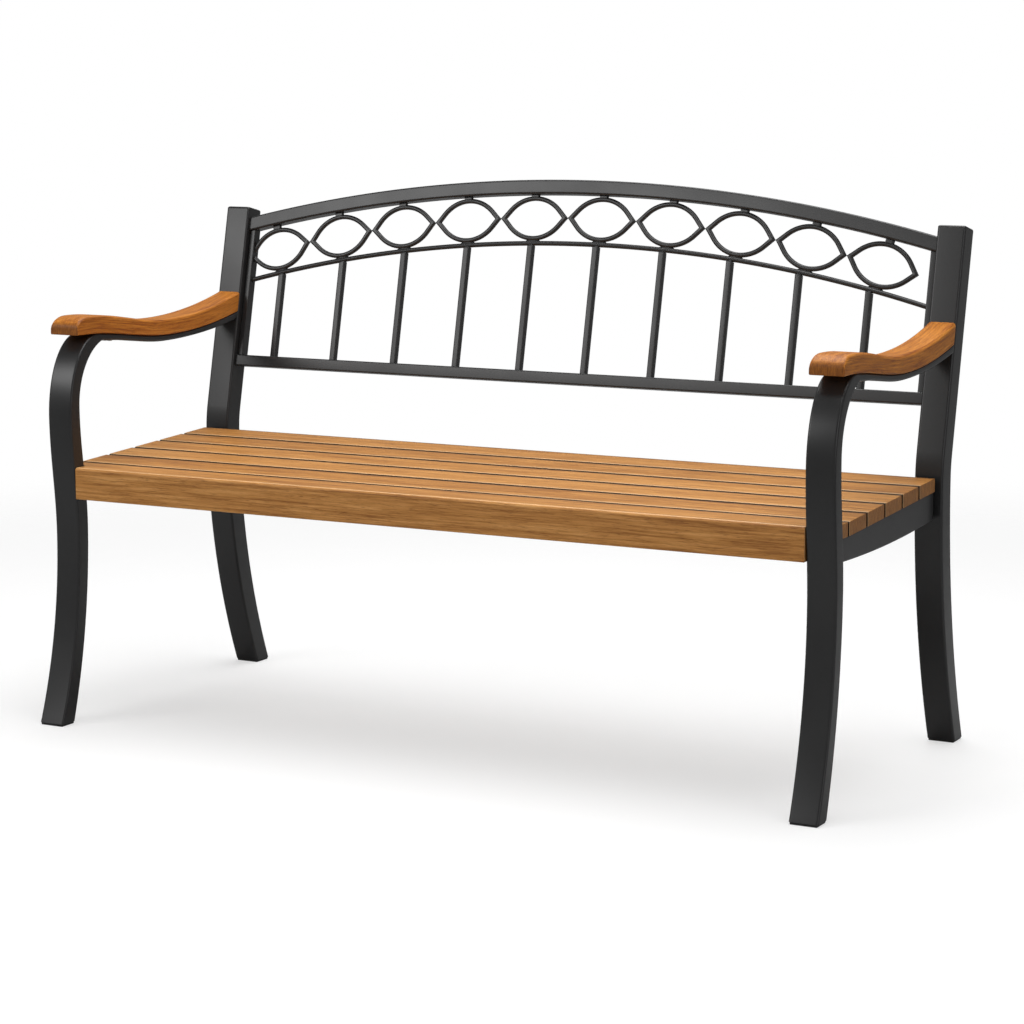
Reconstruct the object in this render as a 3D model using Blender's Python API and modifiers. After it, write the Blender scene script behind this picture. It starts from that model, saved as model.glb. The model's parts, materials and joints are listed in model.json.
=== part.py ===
"""Two-seat garden bench: two bent steel end frames, a wooden slatted seat, wooden
armrests and an arched back panel with a row of pointed ovals above square spindles.

Metres. X runs along the bench, +Y towards its back, +Z up. The origin is on the ground
at the centre of the footprint. Profiles are laid out as (back, up): the distance behind
the front toe, and the height above the lowest steel, which stands SOLE above the ground
on the foot glides. The back panel is laid out as (x, rise): rise is the distance up the
leaning plane of the posts' front faces.
"""

import math

import bmesh
import bpy
from mathutils import Euler, Matrix, Vector

# Overall
LENGTH = 1.270
DEPTH = 0.5736
TUBE_WIDTH = 0.0428
TUBE_WALL = 0.0020
GAP = 0.0003
SOLE = 0.003
END_X = (LENGTH - TUBE_WIDTH) / 2
POST_INNER_X = LENGTH / 2 - TUBE_WIDTH
TUBE_EDGE = 0.0022
RAIL_EDGE = 0.0015
BAR_EDGE = 0.0012
FLAT_EDGE = 0.0010
THIN_EDGE = 0.0008
CUT_OVERRUN = 0.010

# Front leg: a toe that kicks forward, a slight S, then a bend back under the armrest
LEG_TOE_FRONT = 0.0
LEG_TOE_BACK = 0.032
LEG_KNEE_FRONT = (0.052, 0.280)
LEG_KNEE_BACK = (0.0775, 0.300)
LEG_NECK_FRONT = (0.0395, 0.465)
LEG_NECK_BACK = (0.0635, 0.478)
BEND_OUTER = (0.0720, 0.1213)
BEND_INNER = (0.0855, 0.1010)
BEND_END = 0.126

# Rear post: a toe that kicks back, upright at the seat, then leaning back
POST_TOE_FRONT = 0.538
POST_TOE_BACK = DEPTH
POST_FRONT = 0.458
POST_DEPTH = 0.038
POST_KNEE_Z = 0.400
LEAN_Z = 0.420
LEAN = math.radians(12.24)
POST_RISE = 0.3489
CAP_THICKNESS = 0.003
SOLE_INSET = 0.0015
PLUG_LENGTH = 0.012

# Armrest and the steel support under it
ARM_NOSE_WIDTH = 0.050
ARM_REAR_WIDTH = 0.042
ARM_EDGE = 0.003
ARM_NOSE = 0.0560
ARM_NOSE_SHOULDER = (0.085, 0.598)
ARM_UNDER_LOW = (0.300, 0.570)
ARM_OVER_LOW = (0.290, 0.595)
ARM_UNDER_FRONT = (0.080, 0.5875)
ARM_OVER_FRONT = (0.090, 0.6145)
ARM_UNDER_REAR = (0.487, 0.590)
ARM_OVER_REAR = (0.487, 0.6195)
SUPPORT_LOW = (0.290, 0.5602)
SUPPORT_FRONT = (BEND_END, 0.5734)
SUPPORT_REAR = (0.482, 0.5775)
SCREW_BACKS = (0.170, 0.400)
SCREW_SHANK_RADIUS = 0.0025
SCREW_HEAD_RADIUS = 0.0045
SCREW_HEAD_HEIGHT = 0.0022
SCREW_HEAD_DROP = 0.0005
SCREW_DEPTH_IN_WOOD = 0.012
SCREW_CLEARANCE = 0.0004

# Seat
SLAT_COUNT = 6
SLAT_WIDTH = 0.0629
SLAT_PITCH = 0.0679
SLAT_THICKNESS = 0.020
SLAT_LENGTH = 1.255
SLAT_EDGE = 0.0028
SEAT_FRONT = 0.045
SEAT_FRONT_Z = 0.3885
SEAT_LEVEL_TO = SEAT_FRONT + SLAT_PITCH
SEAT_SLOPE = 0.047
APRON_BOTTOM_Z = 0.3405
APRON_THICKNESS = 0.018
NOSE_ROUND = 0.004
NOTCH_BACK = 0.0740
NOTCH_X = POST_INNER_X - 0.0010
NOTCH_CUTTER = 0.1

# Steel under the seat
RAIL_WIDTH = 0.020
RAIL_X = LENGTH / 2 - 0.0105 - RAIL_WIDTH / 2
RAIL_END = 0.450
RAIL_LOW = (0.210, 0.3333)
RAIL_BOW = 0.16
TAB_SIZE = (0.010, 0.0074, 0.032)
TAB_Z = 0.361
STRETCHER = 0.020
STRETCHER_FRONT_BACK = 0.092
STRETCHER_REAR_BACK = 0.435
BRACE_WIDTH = 0.030
BRACE_THICKNESS = 0.005

# Back panel
RAIL_RECESS = 0.007
MEMBER_RECESS = 0.0185
TOP_RAIL_APEX = 0.4053
TOP_RAIL_HEIGHT = 0.0222
TOP_RAIL_DEPTH = 0.022
TOP_RAIL_RADIUS = 2.46
BOTTOM_RAIL_TOP = 0.1058
BOTTOM_RAIL_HEIGHT = 0.018
BOTTOM_RAIL_DEPTH = 0.020
STILE_WIDTH = 0.010
STILE_DEPTH = 0.016
STILE_FACE = POST_INNER_X - STILE_WIDTH - 2 * GAP
ARCH_ROD_APEX = 0.3069
ARCH_ROD_RADIUS = 0.0038
ARCH_RADIUS = 2.27
SPINDLE_COUNT = 10
SPINDLE_SIZE = 0.0105
SPINDLE_PITCH = 0.1130
SPINDLE_ROW_X = -0.0175
OVAL_COUNT = 10
OVAL_PITCH = 0.1170
OVAL_ROW_X = -0.0147
OVAL_BAR = 0.0074
OVAL_HALF_HEIGHT = 0.0350
OVAL_TIP_GAP = 0.0004
OVAL_FLARE = math.radians(48)
LUG_HALF_WIDTH = 0.0065
ROD_END_CLEARANCE = 0.001

PAINT = "frame_paint"
SEAT_WOOD = "seat_wood"
ARM_WOOD = "arm_wood"
PLASTIC = "glide_plastic"
STEEL = "screw_steel"


# ---------------------------------------------------------------- scene and materials

def clear_scene():
    for obj in list(bpy.data.objects):
        bpy.data.objects.remove(obj, do_unlink=True)


def new_collection(name):
    collection = bpy.data.collections.new(name)
    bpy.context.scene.collection.children.link(collection)
    return collection


def new_material(name, colour, roughness, metallic):
    material = bpy.data.materials.new(name)
    material.use_nodes = True
    shader = material.node_tree.nodes["Principled BSDF"]
    shader.inputs["Base Color"].default_value = (*colour, 1.0)
    shader.inputs["Roughness"].default_value = roughness
    shader.inputs["Metallic"].default_value = metallic
    return material


clear_scene()
BENCH = new_collection("garden_bench")
CUTTERS = new_collection("cutters")
MATERIALS = {
    PAINT: new_material(PAINT, (0.055, 0.056, 0.058), 0.45, 0.2),
    SEAT_WOOD: new_material(SEAT_WOOD, (0.43, 0.21, 0.07), 0.5, 0.0),
    ARM_WOOD: new_material(ARM_WOOD, (0.46, 0.19, 0.05), 0.45, 0.0),
    PLASTIC: new_material(PLASTIC, (0.012, 0.012, 0.012), 0.6, 0.0),
    STEEL: new_material(STEEL, (0.35, 0.35, 0.36), 0.35, 0.9),
}


# ---------------------------------------------------------------- places and frames

def placed(x, back, up):
    """A profile's point (back, up) at this x, in the bench's own axes."""
    return (x, back - DEPTH / 2, up + SOLE)


def side_frame(x):
    """Outline (back, up) stood up in the bench's YZ plane, at this x."""
    turn = Euler((math.pi / 2, 0, math.pi / 2)).to_matrix().to_4x4()
    return Matrix.Translation((x, -DEPTH / 2, SOLE)) @ turn


def panel_frame(recess):
    """Outline (x, rise) laid in the leaning plane this far behind the post fronts."""
    corner = Matrix.Translation((0, POST_FRONT - DEPTH / 2, LEAN_Z + SOLE))
    turn = Matrix.Rotation(math.pi / 2 - LEAN, 4, "X")
    return corner @ turn @ Matrix.Translation((0, 0, -recess))


# ---------------------------------------------------------------- building pieces

def mesh_from_curve(curve_object, name, material):
    """The curve as a mesh with its caps welded on, ready for Boolean cuts."""
    bpy.context.view_layer.update()
    graph = bpy.context.evaluated_depsgraph_get()
    mesh = bpy.data.meshes.new_from_object(curve_object.evaluated_get(graph))
    shape = bmesh.new()
    shape.from_mesh(mesh)
    bmesh.ops.remove_doubles(shape, verts=shape.verts, dist=0.00001)
    bmesh.ops.recalc_face_normals(shape, faces=shape.faces)
    shape.to_mesh(mesh)
    shape.free()
    mesh.materials.clear()
    mesh.materials.append(MATERIALS[material])
    mesh.name = name
    obj = bpy.data.objects.new(name, mesh)
    BENCH.objects.link(obj)
    obj.matrix_world = curve_object.matrix_world
    bpy.data.objects.remove(curve_object, do_unlink=True)
    return obj


def add_spline(curve, points, closed):
    spline = curve.splines.new("POLY")
    spline.points.add(len(points) - 1)
    for target, point in zip(spline.points, points):
        target.co = (point[0], point[1], 0, 1)
    spline.use_cyclic_u = closed


def plate(name, outlines, thickness, edge, frame, material, segments=0):
    """Flat outlines given a thickness, centred on the frame, with broken edges."""
    curve = bpy.data.curves.new(name, "CURVE")
    curve.dimensions = "2D"
    curve.fill_mode = "BOTH"
    curve.extrude = thickness / 2 - edge
    curve.bevel_depth = edge
    curve.bevel_resolution = segments
    curve.offset = -edge
    for outline in outlines:
        add_spline(curve, outline, True)
    obj = bpy.data.objects.new(name + "_outline", curve)
    BENCH.objects.link(obj)
    obj.matrix_world = frame
    return mesh_from_curve(obj, name, material)


def rod(name, points, radius, frame, material):
    """A round bar along points in the frame's plane."""
    curve = bpy.data.curves.new(name, "CURVE")
    curve.dimensions = "3D"
    curve.bevel_depth = radius
    curve.bevel_resolution = 2
    curve.use_fill_caps = True
    add_spline(curve, points, False)
    obj = bpy.data.objects.new(name + "_path", curve)
    BENCH.objects.link(obj)
    obj.matrix_world = frame
    return mesh_from_curve(obj, name, material)


def box(name, size, centre, material, edge=0.0, tilt=0.0, segments=1):
    """A bar or board: a cube sized, placed, tilted about X, with bevelled edges."""
    mesh = bpy.data.meshes.new(name)
    shape = bmesh.new()
    bmesh.ops.create_cube(shape, size=1.0)
    bmesh.ops.scale(shape, vec=size, verts=shape.verts)
    shape.to_mesh(mesh)
    shape.free()
    mesh.materials.append(MATERIALS[material])
    obj = bpy.data.objects.new(name, mesh)
    BENCH.objects.link(obj)
    obj.location = centre
    obj.rotation_euler = (tilt, 0, 0)
    if edge > 0:
        bevel = obj.modifiers.new("edges", "BEVEL")
        bevel.width = edge
        bevel.segments = segments
    return obj


def cylinder(name, radius, x, back, low, high, sides=20):
    """An upright steel pin between two heights."""
    mesh = bpy.data.meshes.new(name)
    shape = bmesh.new()
    bmesh.ops.create_cone(
        shape, cap_ends=True, segments=sides, radius1=radius, radius2=radius, depth=high - low
    )
    shape.to_mesh(mesh)
    shape.free()
    mesh.materials.append(MATERIALS[STEEL])
    obj = bpy.data.objects.new(name, mesh)
    BENCH.objects.link(obj)
    obj.location = placed(x, back, (low + high) / 2)
    return obj


def as_cutter(obj):
    obj.hide_render = True
    obj.display_type = "WIRE"
    BENCH.objects.unlink(obj)
    CUTTERS.objects.link(obj)
    return obj


def combine(obj, other, operation):
    modifier = obj.modifiers.new(other.name, "BOOLEAN")
    modifier.operation = operation
    modifier.solver = "EXACT"
    modifier.object = as_cutter(other)


def cut(obj, other):
    combine(obj, other, "DIFFERENCE")


def join(obj, other):
    combine(obj, other, "UNION")


# ---------------------------------------------------------------- small geometry

def lerp(a, b, t):
    return a + (b - a) * t


def ease(t):
    """0 to 1 with a level start and finish."""
    return (1 - math.cos(math.pi * min(max(t, 0.0), 1.0))) / 2


def steps(count):
    return [i / count for i in range(count + 1)]


def toe_arc(toe, knee, up):
    """Back of an arc from (toe, 0) that is upright at the knee."""
    reach = toe - knee[0]
    radius = (knee[1] ** 2 + reach ** 2) / (2 * abs(reach))
    sweep = radius - math.sqrt(radius ** 2 - (knee[1] - up) ** 2)
    return knee[0] + math.copysign(sweep, reach)


def sag(back, low, front, rear):
    """Height of a dip: eased down from the front, and rising as a square to the rear."""
    if back < low[0]:
        return lerp(low[1], front[1], ease((low[0] - back) / (low[0] - front[0])))
    return lerp(low[1], rear[1], ((back - low[0]) / (rear[0] - low[0])) ** 2)


def ribbon(one_side, other_side):
    return one_side + other_side[::-1]


def ribbon_bore(one_side, other_side, wall):
    """The inside of a ribbon tube with this wall, running out of both its ends."""
    inner = []
    for a, b in zip(one_side, other_side):
        span = math.dist(a, b)
        across = ((b[0] - a[0]) / span, (b[1] - a[1]) / span)
        inner.append((
            (a[0] + across[0] * wall, a[1] + across[1] * wall),
            (b[0] - across[0] * wall, b[1] - across[1] * wall),
        ))

    def beyond(end, before):
        middle_end = [(end[0][i] + end[1][i]) / 2 for i in (0, 1)]
        middle_before = [(before[0][i] + before[1][i]) / 2 for i in (0, 1)]
        length = math.dist(middle_end, middle_before)
        reach = CUT_OVERRUN / length
        move = [(middle_end[i] - middle_before[i]) * reach for i in (0, 1)]
        return tuple((p[0] + move[0], p[1] + move[1]) for p in end)

    inner.insert(0, beyond(inner[0], inner[1]))
    inner.append(beyond(inner[-1], inner[-2]))
    return ribbon([pair[0] for pair in inner], [pair[1] for pair in inner])


def tube(name, sides, width, x):
    """A bent rectangular tube, open at both ends, from its two edge lines."""
    body = plate(name, [ribbon(*sides)], width, TUBE_EDGE, side_frame(x), PAINT)
    bore = plate(
        name + "_bore", [ribbon_bore(*sides, TUBE_WALL)],
        width - 2 * TUBE_WALL, 0.0, side_frame(x), PAINT,
    )
    cut(body, bore)
    return body


# ---------------------------------------------------------------- end frames

def leg_back(up):
    """Back face of the front leg below its bend."""
    if up < LEG_KNEE_BACK[1]:
        return toe_arc(LEG_TOE_BACK, LEG_KNEE_BACK, up)
    rise = (up - LEG_KNEE_BACK[1]) / (LEG_NECK_BACK[1] - LEG_KNEE_BACK[1])
    return lerp(LEG_KNEE_BACK[0], LEG_NECK_BACK[0], ease(rise))


def leg_front(up):
    """Front face of the front leg below its bend."""
    if up < LEG_KNEE_FRONT[1]:
        return toe_arc(LEG_TOE_FRONT, LEG_KNEE_FRONT, up)
    rise = (up - LEG_KNEE_FRONT[1]) / (LEG_NECK_FRONT[1] - LEG_KNEE_FRONT[1])
    return lerp(LEG_KNEE_FRONT[0], LEG_NECK_FRONT[0], ease(rise))


def arm_under(back):
    return sag(back, ARM_UNDER_LOW, ARM_UNDER_FRONT, ARM_UNDER_REAR)


def arm_over(back):
    return sag(back, ARM_OVER_LOW, ARM_OVER_FRONT, ARM_OVER_REAR)


def support_under(back):
    return sag(back, SUPPORT_LOW, SUPPORT_FRONT, SUPPORT_REAR)


def post_front(up):
    """Front face of the rear post."""
    if up < POST_KNEE_Z:
        return toe_arc(POST_TOE_FRONT, (POST_FRONT, POST_KNEE_Z), up)
    return POST_FRONT + max(0.0, up - LEAN_Z) * math.tan(LEAN)


def post_back(up):
    """Back face of the rear post below its lean."""
    return toe_arc(POST_TOE_BACK, (POST_FRONT + POST_DEPTH, POST_KNEE_Z), up)


def leg_sides():
    front = []
    back = []
    for t in steps(6):
        up = lerp(0.0, LEG_KNEE_FRONT[1], t)
        front.append((leg_front(up), up))
        up = lerp(0.0, LEG_KNEE_BACK[1], t)
        back.append((leg_back(up), up))
    for t in steps(5)[1:]:
        up = lerp(LEG_KNEE_FRONT[1], LEG_NECK_FRONT[1], t)
        front.append((leg_front(up), up))
        up = lerp(LEG_KNEE_BACK[1], LEG_NECK_BACK[1], t)
        back.append((leg_back(up), up))
    outer_turns = 8
    inner_turns = outer_turns + 1
    inner_sweep = math.acos(1 - (BEND_END - LEG_NECK_BACK[0]) / BEND_INNER[0])
    for i in range(1, inner_turns + 1):
        turn = math.pi / 2 * min(i / outer_turns, 1.0)
        front.append((
            LEG_NECK_FRONT[0] + BEND_OUTER[0] * (1 - math.cos(turn)),
            LEG_NECK_FRONT[1] + BEND_OUTER[1] * math.sin(turn),
        ))
        turn = inner_sweep * i / inner_turns
        back.append((
            LEG_NECK_BACK[0] + BEND_INNER[0] * (1 - math.cos(turn)),
            LEG_NECK_BACK[1] + BEND_INNER[1] * math.sin(turn),
        ))
    front[-1] = (BEND_END, arm_under(BEND_END) - GAP)
    return front, back


def post_sides():
    """Edge lines of the rear post, up to just below its cap."""
    front = []
    back = []
    for t in steps(7):
        up = lerp(0.0, POST_KNEE_Z, t)
        front.append((post_front(up), up))
        back.append((post_back(up), up))
    radius = (LEAN_Z - POST_KNEE_Z) / math.tan(LEAN / 2)
    centre = POST_FRONT + radius
    for t in steps(3)[1:]:
        turn = LEAN * t
        for side, r in ((front, radius), (back, radius - POST_DEPTH)):
            side.append((centre - r * math.cos(turn), POST_KNEE_Z + r * math.sin(turn)))
    top = POST_RISE - CAP_THICKNESS - GAP
    front.append(on_post(top, 0.0))
    back.append(on_post(top, POST_DEPTH))
    return front, back


def on_post(rise, inward):
    """(back, up) of a point this far up the leaning post and behind its front face."""
    return (
        POST_FRONT + rise * math.sin(LEAN) + inward * math.cos(LEAN),
        LEAN_Z + rise * math.cos(LEAN) - inward * math.sin(LEAN),
    )


def plugged_plate(name, shell, shell_width, plug, x, material):
    """A thin end plate with a plug on it that fits inside the tube."""
    body = plate(name, [shell], shell_width, THIN_EDGE, side_frame(x), material)
    width = TUBE_WIDTH - 2 * (TUBE_WALL + GAP)
    join(body, plate(name + "_plug", [plug], width, 0.0, side_frame(x), material))


def foot_glide(name, front_of, back_of, x):
    """Plastic foot: a sole a little smaller than the toe, and a plug inside the tube."""
    sole_front = front_of(0) + SOLE_INSET
    sole_back = back_of(0) - SOLE_INSET
    shell = [
        (sole_front, -SOLE), (sole_back, -SOLE), (sole_back, -GAP), (sole_front, -GAP),
    ]
    inset = TUBE_WALL + 2 * GAP
    low = -SOLE / 2
    high = PLUG_LENGTH
    plug = [
        (front_of(low) + inset, low),
        (back_of(low) - inset, low),
        (back_of(high) - inset, high),
        (front_of(high) + inset, high),
    ]
    plugged_plate(name, shell, TUBE_WIDTH - 2 * SOLE_INSET, plug, x, PLASTIC)


def post_cap(name, x):
    low = POST_RISE - CAP_THICKNESS
    shell = [
        on_post(low, 0.0), on_post(low, POST_DEPTH),
        on_post(POST_RISE, POST_DEPTH), on_post(POST_RISE, 0.0),
    ]
    inset = TUBE_WALL + 2 * GAP
    bottom = low - PLUG_LENGTH
    middle = POST_RISE - CAP_THICKNESS / 2
    plug = [
        on_post(bottom, inset), on_post(bottom, POST_DEPTH - inset),
        on_post(middle, POST_DEPTH - inset), on_post(middle, inset),
    ]
    plugged_plate(name, shell, TUBE_WIDTH, plug, x, PAINT)


def meet_post(height_of):
    """Where a line of this height meets the front of the post, less the gap."""
    back = POST_FRONT
    for _ in range(6):
        back = post_front(height_of(back)) - GAP
    return back


def arm_support(name, x):
    """Flat bar welded between the leg's bend and the post, under the armrest."""
    top_end = meet_post(arm_under)
    low_end = meet_post(support_under)
    start = BEND_END + GAP
    over = []
    under = []
    for t in steps(10):
        back = lerp(start, top_end, t)
        over.append((back, arm_under(back) - GAP))
        back = lerp(start, low_end, t)
        under.append((back, support_under(back)))
    return plate(name, [ribbon(over, under)], TUBE_WIDTH, FLAT_EDGE, side_frame(x), PAINT)


def armrest(name, x):
    """Sagging wooden arm, wider at its rounded nose, which overhangs the leg."""
    under_end = meet_post(arm_under)
    over_end = meet_post(arm_over)
    outline = []
    for t in steps(11):
        back = lerp(ARM_NOSE, under_end, t)
        outline.append((back, arm_under(back)))
    for t in steps(10):
        back = lerp(over_end, ARM_NOSE_SHOULDER[0], t)
        outline.append((back, arm_over(back)))
    reach = ARM_NOSE_SHOULDER[0] - ARM_NOSE
    rise = ARM_OVER_FRONT[1] - ARM_NOSE_SHOULDER[1]
    for t in steps(5)[1:]:
        turn = math.pi / 2 * t
        outline.append((
            ARM_NOSE_SHOULDER[0] - reach * math.sin(turn),
            ARM_NOSE_SHOULDER[1] + rise * math.cos(turn),
        ))
    arm = plate(name, [outline], ARM_NOSE_WIDTH, ARM_EDGE, side_frame(x), ARM_WOOD, segments=1)
    for vertex in arm.data.vertices:
        along = (vertex.co.x - ARM_NOSE) / (under_end - ARM_NOSE)
        vertex.co.z *= lerp(1.0, ARM_REAR_WIDTH / ARM_NOSE_WIDTH, along)
    return arm


def arm_screws(side, x, wood, support):
    """Screws up through holes in the support, into blind holes in the armrest."""
    for place, back in zip(("front", "rear"), SCREW_BACKS):
        seat_up = support_under(back) - SCREW_HEAD_DROP - SCREW_CLEARANCE
        tip = arm_under(back) + SCREW_DEPTH_IN_WOOD
        name = "arm_screw_" + place + "_" + side
        head_low = seat_up - SCREW_HEAD_HEIGHT
        screw = cylinder(name, SCREW_HEAD_RADIUS, x, back, head_low, seat_up)
        shank_low = seat_up - SCREW_HEAD_HEIGHT / 2
        join(screw, cylinder(name + "_shank", SCREW_SHANK_RADIUS, x, back, shank_low, tip))
        hole_radius = SCREW_SHANK_RADIUS + SCREW_CLEARANCE
        hole_low = seat_up - CUT_OVERRUN
        for target in (wood, support):
            hole = name + "_hole_" + target.name
            cut(target, cylinder(hole, hole_radius, x, back, hole_low, tip + GAP))


def end_frame(side, x):
    tube("front_leg_" + side, leg_sides(), TUBE_WIDTH, x)
    tube("rear_post_" + side, post_sides(), TUBE_WIDTH, x)
    support = arm_support("arm_support_" + side, x)
    wood = armrest("armrest_" + side, x)
    arm_screws(side, x, wood, support)
    post_cap("post_cap_" + side, x)
    foot_glide("foot_glide_front_" + side, leg_front, leg_back, x)
    foot_glide("foot_glide_rear_" + side, post_front, post_back, x)


# ---------------------------------------------------------------- seat

def seat_over(back):
    return SEAT_FRONT_Z + max(0.0, back - SEAT_LEVEL_TO) * SEAT_SLOPE


def seat_under(back):
    return seat_over(back) - SLAT_THICKNESS


def nosed_slat():
    """Front board: an L section whose lip is the apron, notched round the legs."""
    back = SEAT_FRONT + SLAT_WIDTH
    lip_back = SEAT_FRONT + APRON_THICKNESS
    under = SEAT_FRONT_Z - SLAT_THICKNESS
    halfway = NOSE_ROUND * (1 - math.cos(math.pi / 4))
    outline = [
        (SEAT_FRONT, APRON_BOTTOM_Z), (lip_back, APRON_BOTTOM_Z), (lip_back, under),
        (back, under), (back, SEAT_FRONT_Z), (SEAT_FRONT + NOSE_ROUND, SEAT_FRONT_Z),
        (SEAT_FRONT + halfway, SEAT_FRONT_Z - halfway),
        (SEAT_FRONT, SEAT_FRONT_Z - NOSE_ROUND),
    ]
    slat = plate("seat_slat_1", [outline], SLAT_LENGTH, FLAT_EDGE, side_frame(0), SEAT_WOOD)
    for side, sign in (("left", -1), ("right", 1)):
        centre = placed(
            sign * (NOTCH_X + NOTCH_CUTTER / 2),
            NOTCH_BACK - NOTCH_CUTTER / 2,
            SEAT_FRONT_Z - NOTCH_CUTTER / 2 + CUT_OVERRUN,
        )
        cut(slat, box("leg_notch_" + side, (NOTCH_CUTTER,) * 3, centre, SEAT_WOOD))


def plain_slat(number):
    middle = SEAT_FRONT + SLAT_PITCH * (number - 1) + SLAT_WIDTH / 2
    tilt = math.atan(SEAT_SLOPE)
    centre = placed(0, middle, seat_over(middle) - SLAT_THICKNESS / 2)
    size = (SLAT_LENGTH, SLAT_WIDTH, SLAT_THICKNESS)
    box("seat_slat_" + str(number), size, centre, SEAT_WOOD, SLAT_EDGE, tilt, segments=2)


def side_rail(side, x):
    """Bowed tube under the slat ends, from the back of the leg towards the post."""
    over = []
    under = []
    top = seat_under(LEG_KNEE_BACK[0]) - GAP
    over_start = leg_back(top) + GAP
    low = RAIL_LOW[1] + RAIL_BOW * (LEG_KNEE_BACK[0] - RAIL_LOW[0]) ** 2
    under_start = leg_back(low) + GAP
    for t in steps(9):
        back = lerp(over_start, RAIL_END, t)
        over.append((back, seat_under(back) - GAP))
        back = lerp(under_start, RAIL_END, t)
        under.append((back, RAIL_LOW[1] + RAIL_BOW * (back - RAIL_LOW[0]) ** 2))
    tube("side_rail_" + side, (over, under), RAIL_WIDTH, x)
    tab_centre = placed(x, RAIL_END + GAP + TAB_SIZE[1] / 2, TAB_Z)
    box("rail_tab_" + side, TAB_SIZE, tab_centre, PAINT, THIN_EDGE)


def stretcher(name, back):
    """Square tube across the bench, under a slat."""
    length = 2 * (RAIL_X - RAIL_WIDTH / 2 - GAP)
    lowest_slat = min(seat_under(back - STRETCHER / 2), seat_under(back))
    centre = placed(0, back, lowest_slat - GAP - STRETCHER / 2)
    body = box(name, (length, STRETCHER, STRETCHER), centre, PAINT, RAIL_EDGE)
    hollow = STRETCHER - 2 * TUBE_WALL
    bore = (length + 2 * CUT_OVERRUN, hollow, hollow)
    cut(body, box(name + "_bore", bore, centre, PAINT))


def seat_brace():
    """Flat bar under the middle of the slats, between the two stretchers."""
    start = STRETCHER_FRONT_BACK + STRETCHER / 2 + GAP
    end = STRETCHER_REAR_BACK - STRETCHER / 2 - GAP
    over = []
    for back in (start, SEAT_LEVEL_TO, end):
        over.append((back, seat_under(back) - GAP))
    under = [(back, up - BRACE_THICKNESS) for back, up in over]
    plate("seat_brace", [ribbon(over, under)], BRACE_WIDTH, FLAT_EDGE, side_frame(0), PAINT)


def seat():
    nosed_slat()
    for number in range(2, SLAT_COUNT + 1):
        plain_slat(number)
    side_rail("left", -RAIL_X)
    side_rail("right", RAIL_X)
    stretcher("front_stretcher", STRETCHER_FRONT_BACK)
    stretcher("rear_stretcher", STRETCHER_REAR_BACK)
    seat_brace()


# ---------------------------------------------------------------- back panel

def arch(apex, radius, x, below=0.0):
    """Rise at x of an arch, or of the curve this far below it."""
    return apex - radius + math.sqrt((radius - below) ** 2 - x ** 2)


def top_rail_under(x):
    return arch(TOP_RAIL_APEX, TOP_RAIL_RADIUS, x, TOP_RAIL_HEIGHT)


def top_rail():
    half = POST_INNER_X - GAP
    over = []
    under = []
    for t in steps(22):
        x = lerp(-half, half, t)
        over.append((x, arch(TOP_RAIL_APEX, TOP_RAIL_RADIUS, x)))
        under.append((x, top_rail_under(x)))
    frame = panel_frame(RAIL_RECESS + TOP_RAIL_DEPTH / 2)
    plate("top_rail", [ribbon(over, under)], TOP_RAIL_DEPTH, RAIL_EDGE, frame, PAINT)


def bottom_rail():
    half = POST_INNER_X - GAP
    low = BOTTOM_RAIL_TOP - BOTTOM_RAIL_HEIGHT
    outline = [(-half, low), (half, low), (half, BOTTOM_RAIL_TOP), (-half, BOTTOM_RAIL_TOP)]
    frame = panel_frame(RAIL_RECESS + BOTTOM_RAIL_DEPTH / 2)
    plate("bottom_rail", [outline], BOTTOM_RAIL_DEPTH, RAIL_EDGE, frame, PAINT)


def upright(name, low_x, high_x, top_of, depth):
    """A square bar standing on the bottom rail, its top cut to the curve above it."""
    foot = BOTTOM_RAIL_TOP + GAP
    outline = [
        (low_x, foot), (high_x, foot),
        (high_x, top_of(high_x) - GAP), (low_x, top_of(low_x) - GAP),
    ]
    plate(name, [outline], depth, BAR_EDGE, panel_frame(MEMBER_RECESS), PAINT)


def arch_rod_under(x):
    return arch(ARCH_ROD_APEX, ARCH_RADIUS, x, ARCH_ROD_RADIUS)


def arch_rod():
    reach = STILE_FACE - ROD_END_CLEARANCE
    points = []
    for t in steps(24):
        x = lerp(-reach, reach, t)
        points.append((x, arch(ARCH_ROD_APEX, ARCH_RADIUS, x)))
    rod("arch_rod", points, ARCH_ROD_RADIUS, panel_frame(MEMBER_RECESS), PAINT)


def oval_edge(offset, lug_heights=None):
    """Closed outline of a pointed oval whose bar's centre line is moved by offset.

    Each half is an arc with a straight flare to the tips. With lug_heights, the top
    carries a small lug with these heights at its left and right corners.
    """
    sine = math.sin(OVAL_FLARE)
    cosine = math.cos(OVAL_FLARE)
    height = OVAL_HALF_HEIGHT - OVAL_BAR / 2
    tip = OVAL_PITCH / 2 - OVAL_TIP_GAP / 2 - OVAL_BAR / 2 / sine
    radius = (tip * sine - height * cosine) / (1 - cosine)
    centre = height - radius
    swept = radius + offset
    turns = [lerp(OVAL_FLARE, -OVAL_FLARE, t) for t in steps(6)]
    upper = [(swept * math.sin(turn), centre + swept * math.cos(turn)) for turn in turns]
    lower = [(-x, -y) for x, y in upper]
    if lug_heights:
        left, right = lug_heights
        shoulder = centre + math.sqrt(swept ** 2 - LUG_HALF_WIDTH ** 2)
        lug = [
            (LUG_HALF_WIDTH, shoulder), (LUG_HALF_WIDTH, right),
            (-LUG_HALF_WIDTH, left), (-LUG_HALF_WIDTH, shoulder),
        ]
        before = [point for point in upper if point[0] > LUG_HALF_WIDTH]
        after = [point for point in upper if point[0] < -LUG_HALF_WIDTH]
        upper = before + lug + after
    point = (tip + offset / sine, 0)
    return [point] + upper + [(-point[0], 0)] + lower


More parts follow.
